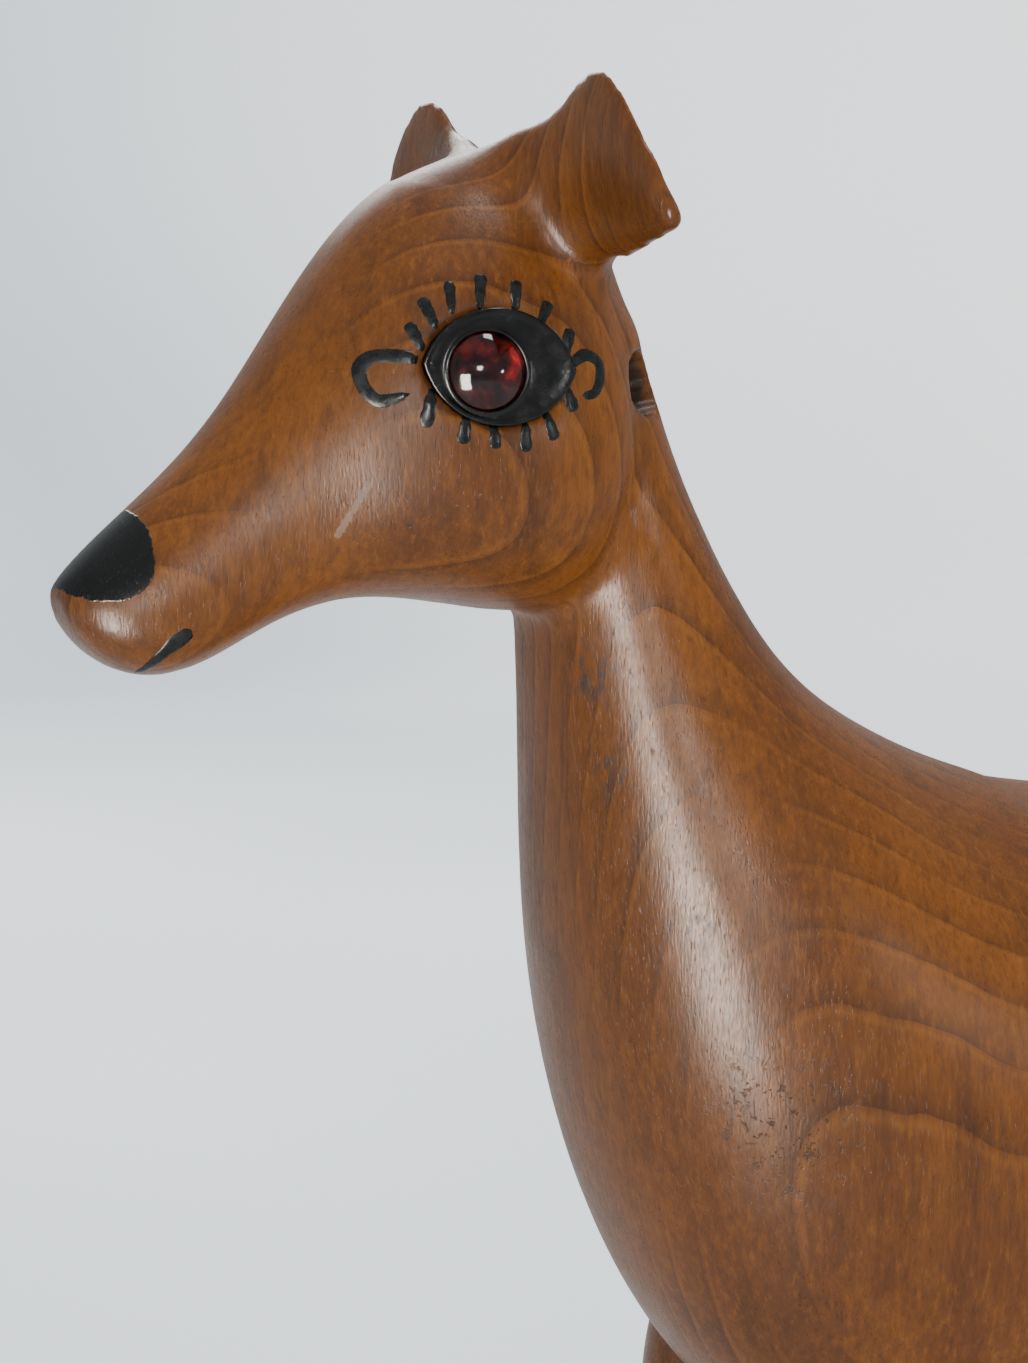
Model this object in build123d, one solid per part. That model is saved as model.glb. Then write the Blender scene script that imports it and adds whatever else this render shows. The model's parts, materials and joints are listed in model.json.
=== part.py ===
from build123d import *
import os
from math import copysign, cos, pi, radians, sin

# A carved wooden animal with a small tapering head, broad ears and a plump trunk.
# +Z is up, the animal faces -X, and its left side is -Y.  All sizes are in mm.
# While it is modelled, X is measured from the throat and Z from the joint plane,
# where the legs are pegged on.  The finished pieces are then set on Z = 0, with the
# origin under the middle of the whole figure.

# --- driving dimensions ------------------------------------------------------
LEG_LENGTH = 108.0          # sole to joint plane
TRUNK_REAR = 98.0           # from the withers back to the rump
TRUNK_WIDTH = 94.0          # the widest part of the barrel
HEAD_LENGTH = 100.0         # poll to nose, along the head
HEAD_WIDTH = 50.0           # across the cheeks
EAR_SPAN = 102.0            # from one ear's rim to the other's
STANCE = 53.0               # between the left and right soles, centre to centre

LENS_DIAMETER = 12.0        # glass cabochon eye
LENS_GIRDLE = 1.0           # its straight edge
LENS_DOME = 2.8             # its dome above that edge
LENS_SINK = 1.4             # from the cheek down to the back of the glass
LENS_CLEARANCE = 0.05       # all round the glass in its seat
LENS_FORWARD = 1.9          # the glass sits forward in the almond, and a little low
LENS_DROP = 0.6
FOIL_THICKNESS = 0.3        # red foil behind the glass
ALMOND_CORNER = 5.0         # eye pocket: wood to glass at the front and rear corners
ALMOND_BORDER = 2.2         # wood to glass above and below
ALMOND_LENGTH = LENS_DIAMETER + 2 * ALMOND_CORNER
ALMOND_HEIGHT = LENS_DIAMETER + 2 * ALMOND_BORDER
ALMOND_DEPTH = 3.6          # from the cheek to the pocket's floor
ALMOND_TILT = 4.0           # degrees, rear corner low
EYE_FORWARD = 10.0          # degrees that the eyes turn forward of sideways
EYE_UPWARD = 4.0            # degrees that they look up

HORN_BORE = 9.5             # empty horn socket
HORN_DEPTH = 12.0
HORN_SPLAY = 43.0           # degrees from straight back
HORN_RAKE = 14.0            # degrees upwards

LEG_DOWEL = 10.0            # diameter
LEG_DOWEL_LENGTH = 44.0
TAIL_DOWEL = 6.0
TAIL_DOWEL_LENGTH = 16.0
DOWEL_CLEARANCE = 0.1       # between a dowel and its hole, on the radius
DOWEL_END_GAP = 1.0         # air at each end of a dowel
TAIL_LENGTH = 44.0
TAIL_DROP = 22.0            # from the top of the rump down to the middle of its root
TAIL_RISE = 5.0             # degrees that its peg points upwards

# --- carved sections -----------------------------------------------------------
# The neck and chest are cut by planes that fan out from one centre above the back.
FAN_CENTRE = (95.0, 202.0)
# degrees below level, radius to the nape or back, radius to the throat or chest, width share
FAN_STATIONS = [
    (3.0, 78.0, 101.0, 0.36),
    (16.0, 75.6, 99.5, 0.37),
    (28.0, 75.2, 104.5, 0.41),
    (40.0, 76.6, 118.0, 0.52),
    (52.0, 78.0, 141.4, 0.70),
    (63.0, 78.0, 168.3, 0.86),
    (71.0, 78.3, 186.3, 0.93),
    (80.0, 79.4, 195.0, 0.98),
]
# share of TRUNK_REAR, height of the back, height of the belly, width share
TRUNK_STATIONS = [
    (0.00, 120.6, 6.5, 1.00),
    (0.26, 117.5, 8.0, 0.99),
    (0.52, 115.0, 13.0, 0.94),
    (0.73, 109.5, 21.5, 0.82),
    (0.89, 98.0, 34.0, 0.60),
    (0.98, 84.0, 49.0, 0.33),
    (1.00, 76.0, 57.0, 0.17),
]
TRUNK_FULLNESS = 2.15
TRUNK_TAPER = -0.04         # a little narrower along the back than along the belly
TAIL_STATION = 4            # the tail is pegged on at this trunk station

# Hundredths of HEAD_LENGTH from the poll: under point, top point, then width share.
POLL = (10.0, 190.0)
HEAD_STATIONS = [
    ((-81.4, -36.0), (-82.6, -31.4), 0.14),
    ((-78.0, -40.4), (-80.2, -28.5), 0.33),
    ((-71.5, -43.9), (-75.2, -23.7), 0.45),
    ((-61.0, -42.4), (-67.2, -16.7), 0.52),
    ((-51.0, -37.4), (-58.8, -8.2), 0.58),
    ((-40.0, -34.2), (-50.9, 2.3), 0.72),
    ((-28.0, -34.6), (-41.8, 15.2), 0.92),
    ((-16.0, -36.6), (-31.0, 26.5), 1.00),
    ((-4.0, -35.6), (-17.8, 31.8), 0.96),
    ((4.0, -24.0), (-5.5, 28.5), 0.72),
    ((7.0, -8.0), (3.0, 18.0), 0.44),
]
HEAD_FULLNESS = 2.25
HEAD_TAPER = -0.15          # narrower along the brow than along the jaw
EYE_PLACE = (-25.6, -0.4)   # middle of the glass, in hundredths of HEAD_LENGTH from the poll
HORN_PLACE = (-9.9, -7.5)

# share of half EAR_SPAN, then hundredths of HEAD_LENGTH from the poll: heights of the
# rim and the heel, x of the rim and the heel, thickness
EAR_STATIONS = [
    (0.00, 34.4, 15.0, -16.8, -5.8, 13.0),
    (0.12, 35.4, 14.5, -15.6, -5.0, 13.0),
    (0.27, 37.3, 14.0, -13.4, -4.0, 12.0),
    (0.43, 39.8, 14.5, -12.0, -4.2, 9.5),
    (0.61, 42.2, 15.6, -11.5, -5.4, 7.0),
    (0.74, 39.0, 16.6, -11.8, -6.6, 5.5),
    (0.87, 33.0, 17.6, -11.4, -7.6, 4.3),
    (0.97, 25.5, 18.6, -10.3, -8.4, 3.4),
    (1.00, 22.5, 19.3, -9.5, -9.0, 2.4),
]

# Round the ear's section: share of the way down, share of the thickness behind.
EAR_OUTLINE = [
    (0.0, 0.0),
    (0.22, -0.35),
    (0.5, -0.55),
    (0.78, -0.55),
    (1.0, -0.1),
    (0.88, 0.42),
    (0.5, 0.32),
    (0.22, 0.12),
]

# share of LEG_LENGTH above the sole, centre x, share of STANCE, half length, half width
FRONT_LEG = [
    (1.62, 64.0, 0.42, 19.0, 14.0),
    (1.30, 58.0, 0.47, 17.5, 14.0),
    (1.00, 52.0, 0.49, 14.0, 12.0),
    (0.75, 48.0, 0.50, 9.5, 9.0),
    (0.50, 46.0, 0.50, 8.6, 8.2),
    (0.30, 45.0, 0.50, 6.8, 6.6),
    (0.12, 44.0, 0.50, 7.4, 7.2),
    (0.00, 42.0, 0.50, 10.5, 8.8),
]
REAR_LEG = [
    (1.62, 150.0, 0.38, 24.0, 15.0),
    (1.30, 156.0, 0.45, 22.0, 15.5),
    (1.00, 161.0, 0.49, 16.0, 12.5),
    (0.75, 166.0, 0.50, 10.5, 9.2),
    (0.50, 169.0, 0.50, 8.4, 7.8),
    (0.30, 166.0, 0.50, 6.9, 6.6),
    (0.12, 163.0, 0.50, 7.4, 7.2),
    (0.00, 160.0, 0.50, 10.5, 8.8),
]
LEG_FULLNESS = 2.1

# Hundredths of TAIL_LENGTH: out, down, then degrees of slope, half depth, half width.
TAIL_STATIONS = [
    (-5.0, 1.5, 20.0, 17.0, 15.0),
    (16.0, -2.0, 0.0, 16.0, 15.0),
    (29.0, 12.0, -50.0, 15.0, 14.5),
    (34.0, 36.0, -82.0, 15.5, 15.0),
    (33.0, 64.0, -93.0, 13.5, 13.0),
    (29.0, 88.0, -98.0, 5.0, 5.0),
]
TAIL_FULLNESS = 2.0
RING_POINTS = 16            # points round a carved section
MID_PLANE_STEP = 0.01       # rays start this far into the left half


def superellipse(turn, fullness):
    """Point of a unit superellipse: turn 0 is the top, and pi is the bottom."""
    c = cos(turn)
    s = sin(turn)
    power = 2.0 / fullness
    return copysign(abs(c) ** power, c), copysign(abs(s) ** power, s)


def closed_curve(points):
    """A smooth closed curve in two edges, which meet at the first and the middle point."""
    whole = Edge.make_spline(points, periodic=True)
    middle = Vector(points[len(points) // 2])
    return whole.trim(0.0, middle), whole.trim(middle, 1.0)


def half_ring(under, top, half_width, fullness, taper=0.0):
    """Left half of a section through two mid-plane points (x, z), closed by the mid-plane."""
    centre = ((top[0] + under[0]) / 2, (top[1] + under[1]) / 2)
    half = ((top[0] - under[0]) / 2, (top[1] - under[1]) / 2)
    points = []
    for i in range(RING_POINTS):
        along, across = superellipse(2 * pi * i / RING_POINTS, fullness)
        y = -half_width * (1 + taper * along) * across
        points.append((centre[0] + half[0] * along, y, centre[1] + half[1] * along))
    flank, _ = closed_curve(points)
    return Wire([flank, Edge.make_line(flank @ 1, flank @ 0)])


def on_fan(angle, radius):
    x = FAN_CENTRE[0] - radius * cos(radians(angle))
    z = FAN_CENTRE[1] - radius * sin(radians(angle))
    return x, z


def trunk_and_neck():
    """One loft from the rump along the barrel, round the chest and up the neck."""
    half = TRUNK_WIDTH / 2
    rings = []
    for share, back, belly, width in reversed(TRUNK_STATIONS):
        x = FAN_CENTRE[0] + share * TRUNK_REAR
        rings.append(half_ring((x, belly), (x, back), width * half, TRUNK_FULLNESS, TRUNK_TAPER))
    for angle, inner, outer, width in reversed(FAN_STATIONS):
        rings.append(half_ring(on_fan(angle, outer), on_fan(angle, inner),
                               width * half, TRUNK_FULLNESS))
    return Solid.make_loft(rings)


def head_point(place):
    return POLL[0] + place[0] * HEAD_LENGTH / 100, POLL[1] + place[1] * HEAD_LENGTH / 100


def head():
    rings = []
    for under, top, width in HEAD_STATIONS:
        rings.append(half_ring(head_point(under), head_point(top),
                               width * HEAD_WIDTH / 2, HEAD_FULLNESS, HEAD_TAPER))
    return Solid.make_loft(rings)


def ear():
    """The left ear from the middle of the crown out to its rim."""
    rings = []
    for share, top, under, rim, heel, thick in EAR_STATIONS:
        y = -share * EAR_SPAN / 2
        points = []
        for down, out in EAR_OUTLINE:
            x, z = head_point((rim + (heel - rim) * down + out * thick, top + (under - top) * down))
            points.append((x, y, z))
        rings.append(Wire(closed_curve(points)))
    return Solid.make_loft(rings)


def leg(stations):
    """A whole left leg, from the sole up into the haunch."""
    rings = []
    for share, x, spread, half_length, half_width in stations:
        points = []
        for i in range(RING_POINTS):
            along, across = superellipse(2 * pi * i / RING_POINTS, LEG_FULLNESS)
            points.append((x + half_length * along, half_width * across - spread * STANCE,
                           (share - 1) * LEG_LENGTH))
        rings.append(Wire(closed_curve(points)))
    return Solid.make_loft(rings)


def mirrored(solid):
    """The right-hand copy of a left-hand piece."""
    return solid.mirror(Plane.XZ)


def only_solid(shape):
    """The single solid of a boolean's result."""
    solids = shape.solids()
    if len(solids) != 1:
        raise ValueError("expected one solid, found " + str(len(solids)))
    return solids[0]


def surface_point(solid, place, direction):
    """Where a ray from a point of the mid-plane leaves the solid for the last time."""
    start = Vector(place[0], -MID_PLANE_STEP, place[1])
    hits = solid.find_intersection_points(Axis(start, direction))
    return max((point for point, _ in hits), key=lambda p: (p - start).dot(direction))


# --- left half of the body: trunk, neck, head, ear and haunches in one block ----------
trunk = trunk_and_neck()
skull = head()
body = trunk + skull + ear()
legs = {}
for name, stations in (("front", FRONT_LEG), ("rear", REAR_LEG)):
    whole = leg(stations)
    legs[name] = only_solid(whole.split(Plane.XY, keep=Keep.BOTTOM))
    body = body + whole.split(Plane.XY, keep=Keep.TOP)
body = only_solid(body)

# --- eyes --------------------------------------------------------------------------
# The glass axis leaves the mid-plane under the middle of the glass and points outwards.
forward = radians(EYE_FORWARD)
upward = radians(EYE_UPWARD)
eye_axis = Vector(-sin(forward) * cos(upward), -cos(forward) * cos(upward), sin(upward))
glass_x, glass_z = head_point(EYE_PLACE)
reach = HEAD_WIDTH / 2
inner = (glass_x - eye_axis.X / -eye_axis.Y * reach, glass_z - eye_axis.Z / -eye_axis.Y * reach)
cheek = surface_point(skull, inner, eye_axis)
eye_plane = Plane(origin=cheek, x_dir=(1, 0, 0), z_dir=eye_axis)

# The almond is two arcs that meet at its corners, on the local plane of the cheek.
almond_centre = (LENS_FORWARD, LENS_DROP)
half_length = ALMOND_LENGTH / 2
almond = Sketch() + make_face([
    ThreePointArc((-half_length, 0), (0, ALMOND_HEIGHT / 2), (half_length, 0)).edge(),
    ThreePointArc((half_length, 0), (0, -ALMOND_HEIGHT / 2), (-half_length, 0)).edge(),
])
almond = Pos(*almond_centre) * Rot(0, 0, -ALMOND_TILT) * almond
pocket = extrude(eye_plane * almond, amount=ALMOND_LENGTH / 2)
pocket = pocket + extrude(eye_plane * almond, amount=-ALMOND_DEPTH)
pocket = only_solid(pocket)
bed = only_solid(pocket & body)
back_plane = eye_plane.offset(-LENS_SINK)
seat_radius = LENS_DIAMETER / 2 + LENS_CLEARANCE
seat = back_plane.offset(-FOIL_THICKNESS) * Cylinder(
    seat_radius, ALMOND_LENGTH, align=(Align.CENTER, Align.CENTER, Align.MIN))
bed = only_solid(bed - seat)
foil = back_plane.offset(-FOIL_THICKNESS) * Cylinder(
    LENS_DIAMETER / 2, FOIL_THICKNESS, align=(Align.CENTER, Align.CENTER, Align.MIN))
radius = LENS_DIAMETER / 2
dome_radius = (radius ** 2 + LENS_DOME ** 2) / (2 * LENS_DOME)
dome = Pos(0, 0, LENS_GIRDLE + LENS_DOME - dome_radius) * Sphere(dome_radius)
lens = Cylinder(radius, LENS_GIRDLE + LENS_DOME,
                align=(Align.CENTER, Align.CENTER, Align.MIN)) & dome
lens = back_plane * only_solid(lens)
body = body - pocket

# --- empty horn sockets --------------------------------------------------------------
splay = radians(HORN_SPLAY)
rake = radians(HORN_RAKE)
horn_axis = Vector(cos(splay) * cos(rake), -sin(splay) * cos(rake), sin(rake))
horn_x, horn_z = head_point(HORN_PLACE)
nape = surface_point(body, (horn_x, horn_z), horn_axis)
horn_mouth = Plane(origin=nape, z_dir=horn_axis)
horn_bore = horn_mouth.offset(-HORN_DEPTH) * Cylinder(
    HORN_BORE / 2, 2 * HORN_DEPTH, align=(Align.CENTER, Align.CENTER, Align.MIN))
body = body - horn_bore

# --- pegged legs -----------------------------------------------------------------------
hole_radius = LEG_DOWEL / 2 + DOWEL_CLEARANCE
hole_length = LEG_DOWEL_LENGTH + 2 * DOWEL_END_GAP
pieces = {}
for name, stations in (("front", FRONT_LEG), ("rear", REAR_LEG)):
    joint = [station for station in stations if station[0] == 1.0][0]
    centre = Pos(joint[1], -joint[2] * STANCE, 0)
    dowel = only_solid(centre * Cylinder(LEG_DOWEL / 2, LEG_DOWEL_LENGTH))
    hole = centre * Cylinder(hole_radius, hole_length)
    body = body - hole
    left_leg = only_solid(legs[name] - hole)
    pieces["leg_" + name + "_left"] = left_leg
    pieces["leg_" + name + "_right"] = mirrored(left_leg)
    pieces["leg_dowel_" + name + "_left"] = dowel
    pieces["leg_dowel_" + name + "_right"] = mirrored(dowel)

# --- tail ------------------------------------------------------------------------------
# It hangs from the rump.  Its root stands in a shallow housing, square to its peg.
_, rump_top, _, _ = TRUNK_STATIONS[TAIL_STATION]
tail_rise = radians(TAIL_RISE)
tail_axis = Vector(cos(tail_rise), 0, sin(tail_rise))
tail_root = surface_point(trunk, (FAN_CENTRE[0], rump_top - TAIL_DROP), tail_axis)
tail_rings = []
for out, down, slope, half_depth, half_width in TAIL_STATIONS:
    scale = TAIL_LENGTH / 100
    x = tail_root.X + out * scale
    z = tail_root.Z - down * scale
    across = (-sin(radians(slope)) * half_depth * scale, cos(radians(slope)) * half_depth * scale)
    tail_rings.append(half_ring((x - across[0], z - across[1]), (x + across[0], z + across[1]),
                                half_width * scale, TAIL_FULLNESS))
tail = Solid.make_loft(tail_rings)
tail = only_solid(tail + mirrored(tail))
peg_place = Plane(origin=tail_root, z_dir=tail_axis)
peg = peg_place * Cylinder(TAIL_DOWEL / 2, TAIL_DOWEL_LENGTH)
peg_hole = peg_place * Cylinder(
    TAIL_DOWEL / 2 + DOWEL_CLEARANCE, TAIL_DOWEL_LENGTH + 2 * DOWEL_END_GAP)
body = only_solid(body + mirrored(body))
body = body - tail - peg_hole
pieces["tail"] = only_solid(tail - peg_hole)
pieces["tail_dowel"] = only_solid(peg)

pieces["body_carving"] = only_solid(body)
pieces["eye_bed_left"] = bed
pieces["eye_foil_left"] = foil
pieces["eye_lens_left"] = lens
for name in ("eye_bed", "eye_foil", "eye_lens"):
    pieces[name + "_right"] = mirrored(pieces[name + "_left"])

box = Compound(list(pieces.values())).bounding_box()
place = Pos(-(box.min.X + box.max.X) / 2, 0, LEG_LENGTH)
os.makedirs("parts", exist_ok=True)
for name, piece in pieces.items():
    piece = place * piece
    export_step(piece, "parts/" + name + ".step")
    print(name, piece.is_valid, round(piece.volume, 1))
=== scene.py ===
# %% [markdown]
# A carved wooden animal, finished round its CAD frame.  The frame holds every piece at
# its real size and place.  This script gives them their looks: a smoothed carving with
# wood grain that runs through the block, painted lashes, nose and mouth, and inlaid eyes.

# %% Load the frame
import json
import math

import bmesh
import bpy
from mathutils import Matrix, Vector
from mathutils.bvhtree import BVHTree


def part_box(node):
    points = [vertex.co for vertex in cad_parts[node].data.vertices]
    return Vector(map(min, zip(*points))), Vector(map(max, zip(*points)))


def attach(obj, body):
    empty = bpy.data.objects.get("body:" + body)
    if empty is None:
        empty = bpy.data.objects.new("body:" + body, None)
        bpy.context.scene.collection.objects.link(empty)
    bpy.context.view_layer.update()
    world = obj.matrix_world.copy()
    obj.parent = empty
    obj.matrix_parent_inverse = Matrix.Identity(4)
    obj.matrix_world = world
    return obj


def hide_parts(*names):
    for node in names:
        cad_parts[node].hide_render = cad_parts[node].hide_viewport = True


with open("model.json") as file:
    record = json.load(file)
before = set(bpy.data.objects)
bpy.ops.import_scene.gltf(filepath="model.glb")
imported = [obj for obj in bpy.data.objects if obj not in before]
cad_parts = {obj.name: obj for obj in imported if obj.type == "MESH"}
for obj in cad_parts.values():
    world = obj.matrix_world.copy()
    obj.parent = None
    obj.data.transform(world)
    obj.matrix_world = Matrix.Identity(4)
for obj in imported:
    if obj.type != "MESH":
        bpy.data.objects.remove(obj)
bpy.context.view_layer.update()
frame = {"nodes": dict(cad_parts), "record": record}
MM = 0.001
nodes = frame["nodes"]
body_low, body_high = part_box("body_carving")
throat_x = body_low.x + 72.6 * MM
joint_z = body_low.z
print("body from", body_low, "to", body_high)

# %% [markdown]
# The camera stands to the front left of the figure, close to it, and looks a little down.
# It is made first, so that every piece can be judged from where it will be seen.

# %% Camera
AIM = Vector((throat_x, 0, joint_z + 142 * MM))
VIEW_AZIMUTH = math.radians(-25.0)
VIEW_ELEVATION = math.radians(6.4)
VIEW_DISTANCE = 460 * MM
VIEW_LENS = 79.24


def direction(azimuth, elevation):
    """Unit vector towards a place round the figure: azimuth 0 is its left side."""
    flat = math.cos(elevation)
    return Vector((math.sin(azimuth) * flat, -math.cos(azimuth) * flat, math.sin(elevation)))


def aim_at(thing, place, target):
    thing.location = place
    thing.rotation_euler = (target - place).to_track_quat("-Z", "Y").to_euler()


camera = bpy.data.objects.new("camera", bpy.data.cameras.new("camera"))
camera.data.lens = VIEW_LENS
camera.data.clip_start = 0.01
bpy.context.scene.collection.objects.link(camera)
aim_at(camera, AIM + direction(VIEW_AZIMUTH, VIEW_ELEVATION) * VIEW_DISTANCE, AIM)
bpy.context.scene.camera = camera
print("camera at", camera.location)

# %% [markdown]
# A carved piece shows its grain in depth: the rings of the tree run
# through the whole block, and each cut surface is a slice of them.  So the grain is a
# solid pattern on Object coordinates, not a picture wrapped round the outside.

# %% Node helpers


def add(tree, kind, **settings):
    """A new node of this kind, with its settings."""
    node = tree.nodes.new(kind)
    for name, value in settings.items():
        setattr(node, name, value)
    return node


def feed(tree, socket, source):
    """Link a socket to another one, or give it a plain value."""
    if isinstance(source, bpy.types.NodeSocket):
        tree.links.new(source, socket)
    else:
        socket.default_value = source


def math_node(tree, operation, *values):
    node = add(tree, "ShaderNodeMath", operation=operation)
    for socket, value in zip(node.inputs, values):
        feed(tree, socket, value)
    return node.outputs[0]


def noise(tree, vector, scale, detail=3.0, rough=0.5):
    """Cloudy noise, from 0 to 1, mostly near the middle."""
    node = add(tree, "ShaderNodeTexNoise")
    feed(tree, node.inputs["Vector"], vector)
    node.inputs["Scale"].default_value = scale
    node.inputs["Detail"].default_value = detail
    node.inputs["Roughness"].default_value = rough
    return node.outputs["Fac"]


def band(tree, value, low, high, to_low=0.0, to_high=1.0):
    """Stretch the values between low and high to a new range, and clamp the rest."""
    node = add(tree, "ShaderNodeMapRange", clamp=True)
    for socket, number in zip(node.inputs, (value, low, high, to_low, to_high)):
        feed(tree, socket, number)
    return node.outputs[0]


def stretched(tree, vector, stretch):
    """A vector scaled along each axis, so that noise on it comes out long and thin."""
    node = add(tree, "ShaderNodeVectorMath", operation="MULTIPLY")
    feed(tree, node.inputs[0], vector)
    node.inputs[1].default_value = stretch
    return node.outputs[0]


def mixed(tree, share, first, second):
    """One colour laid over another by a share."""
    node = add(tree, "ShaderNodeMix", data_type="RGBA", blend_type="MIX")
    feed(tree, node.inputs["Factor"], share)
    feed(tree, node.inputs["A"], first)
    feed(tree, node.inputs["B"], second)
    return node.outputs["Result"]


def new_group(name, inputs, outputs):
    group = bpy.data.node_groups.new(name, "ShaderNodeTree")
    for title, kind, value in inputs:
        socket = group.interface.new_socket(title, in_out="INPUT", socket_type=kind)
        socket.default_value = value
    for title, kind in outputs:
        group.interface.new_socket(title, in_out="OUTPUT", socket_type=kind)
    return group, add(group, "NodeGroupInput"), add(group, "NodeGroupOutput")


def new_material(name):
    material = bpy.data.materials.new(name)
    material.use_nodes = True
    return material, material.node_tree, material.node_tree.nodes["Principled BSDF"]


def bumped(tree, shader, height, strength, deep):
    """Let a height bend the light as a real relief of that depth would."""
    bump = add(tree, "ShaderNodeBump")
    bump.inputs["Strength"].default_value = strength
    bump.inputs["Distance"].default_value = deep
    feed(tree, bump.inputs["Height"], height)
    feed(tree, shader.inputs["Normal"], bump.outputs["Normal"])


COLOUR = "NodeSocketColor"
NUMBER = "NodeSocketFloat"
print("node helpers ready")

# %% [markdown]
# The grain group measures how far a point is from the heart of the tree, which stood
# beside the block, and turns that into rings.  Slow noise makes the rings wander, and
# noise stretched along the trunk draws short fibres, a soft mottle and the open pores.

# %% Wood grain group
HEART_LEAN = math.radians(-13.0)     # the tree leant a little over the block
RING_WANDER = 0.020                  # how far slow noise shifts a ring, in metres
RING_RIPPLE = 0.0012                 # the same for quicker noise
LATE_WOOD = 4.5                      # the higher this is, the thinner a ring's dark edge
GOLD_MIDDLE = 0.09                   # where the pale line lies in a ring, as a share of it
GOLD_WIDTH = 0.08


def build_grain_group():
    group, given, result = new_group(
        "solid wood grain",
        [("Heart X", NUMBER, 0.0),
         ("Heart Y", NUMBER, 0.14),
         ("Ring Spacing", NUMBER, 0.006),
         ("Orange Wood", COLOUR, (0.285, 0.092, 0.014, 1)),
         ("Brown Wood", COLOUR, (0.170, 0.056, 0.014, 1)),
         ("Dark Line", COLOUR, (0.062, 0.022, 0.009, 1)),
         ("Gold Line", COLOUR, (0.40, 0.150, 0.026, 1))],
        [("Colour", COLOUR), ("Fibre", NUMBER), ("Pore", NUMBER)])
    place = add(group, "ShaderNodeTexCoord").outputs["Object"]
    wander = noise(group, stretched(group, place, (11, 11, 5)), 1.0, 2.0, 0.45)
    ripple = noise(group, stretched(group, place, (70, 70, 14)), 1.0, 2.0, 0.5)
    leaning = add(group, "ShaderNodeMapping", vector_type="POINT")
    feed(group, leaning.inputs["Vector"], place)
    leaning.inputs["Rotation"].default_value = (HEART_LEAN, 0, 0)
    parts = add(group, "ShaderNodeSeparateXYZ")
    feed(group, parts.inputs[0], leaning.outputs[0])
    across_x = math_node(group, "SUBTRACT", parts.outputs["X"], given.outputs["Heart X"])
    across_y = math_node(group, "SUBTRACT", parts.outputs["Y"], given.outputs["Heart Y"])
    squares = math_node(group, "ADD", math_node(group, "MULTIPLY", across_x, across_x),
                        math_node(group, "MULTIPLY", across_y, across_y))
    reach = math_node(group, "SQRT", squares)
    reach = math_node(group, "ADD", reach, math_node(group, "MULTIPLY", wander, RING_WANDER))
    reach = math_node(group, "ADD", reach, math_node(group, "MULTIPLY", ripple, RING_RIPPLE))
    phase = math_node(group, "FRACT", math_node(group, "DIVIDE", reach, given.outputs["Ring Spacing"]))
    # each ring darkens slowly to its late wood, then a thin pale line starts the next one
    late = math_node(group, "POWER", phase, LATE_WOOD)
    gold = math_node(group, "ABSOLUTE", math_node(group, "SUBTRACT", phase, GOLD_MIDDLE))
    gold = band(group, gold, GOLD_WIDTH, 0.0)
    patches = noise(group, stretched(group, place, (24, 24, 10)), 1.0, 2.0)
    strong = band(group, patches, 0.38, 0.62)
    slow = noise(group, stretched(group, place, (30, 30, 9)), 1.0, 4.0, 0.62)
    mottle = noise(group, stretched(group, place, (900, 900, 210)), 1.0, 4.0, 0.68)
    fibre = noise(group, stretched(group, place, (2600, 2600, 360)), 1.0, 3.0, 0.6)
    streak = noise(group, stretched(group, place, (260, 260, 10)), 1.0, 3.0, 0.55)
    pore = band(group, noise(group, stretched(group, place, (4200, 4200, 520)), 1.0, 1.0), 0.66, 0.73)
    colour = mixed(group, band(group, slow, 0.36, 0.64), given.outputs["Brown Wood"],
                   given.outputs["Orange Wood"])
    colour = mixed(group, math_node(group, "MULTIPLY", late, math_node(group, "MULTIPLY", strong, 0.62)),
                   colour, given.outputs["Dark Line"])
    colour = mixed(group, math_node(group, "MULTIPLY", gold, math_node(group, "MULTIPLY", strong, 0.42)),
                   colour, given.outputs["Gold Line"])
    colour = mixed(group, band(group, streak, 0.50, 0.78, 0.0, 0.50), colour, given.outputs["Dark Line"])
    colour = mixed(group, band(group, mottle, 0.50, 0.80, 0.0, 0.62), colour, given.outputs["Dark Line"])
    colour = mixed(group, band(group, mottle, 0.46, 0.26, 0.0, 0.52), colour, given.outputs["Gold Line"])
    colour = mixed(group, band(group, fibre, 0.45, 0.80, 0.0, 0.40), colour, given.outputs["Dark Line"])
    colour = mixed(group, math_node(group, "MULTIPLY", pore, 0.40), colour, given.outputs["Dark Line"])
    feed(group, result.inputs["Colour"], colour)
    feed(group, result.inputs["Fibre"], fibre)
    feed(group, result.inputs["Pore"], pore)
    return group


grain_group = build_grain_group()
print("grain group has", len(grain_group.nodes), "nodes")

# %% [markdown]
# The nose is brushed on with thick black gloss over the varnish.  A mask in the carving's
# own material marks where the paint lies: a rounded patch over the end of the muzzle,
# with an edge that wavers as a brush does.  The same mask makes the paint smoother.

# %% Painted nose mask
NOSE_CENTRE = (throat_x - 67.5 * MM, joint_z + 165.0 * MM)
NOSE_REACH = (7.0 * MM, 7.6 * MM)
NOSE_ROUNDING = 2.5                  # 2 is an ellipse, and more is squarer
NOSE_WAVER = 0.34                    # how much the brush leaves its edge uneven
NOSE_EDGE = (1.19, 1.11)             # outside and inside of the paint's soft edge


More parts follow.
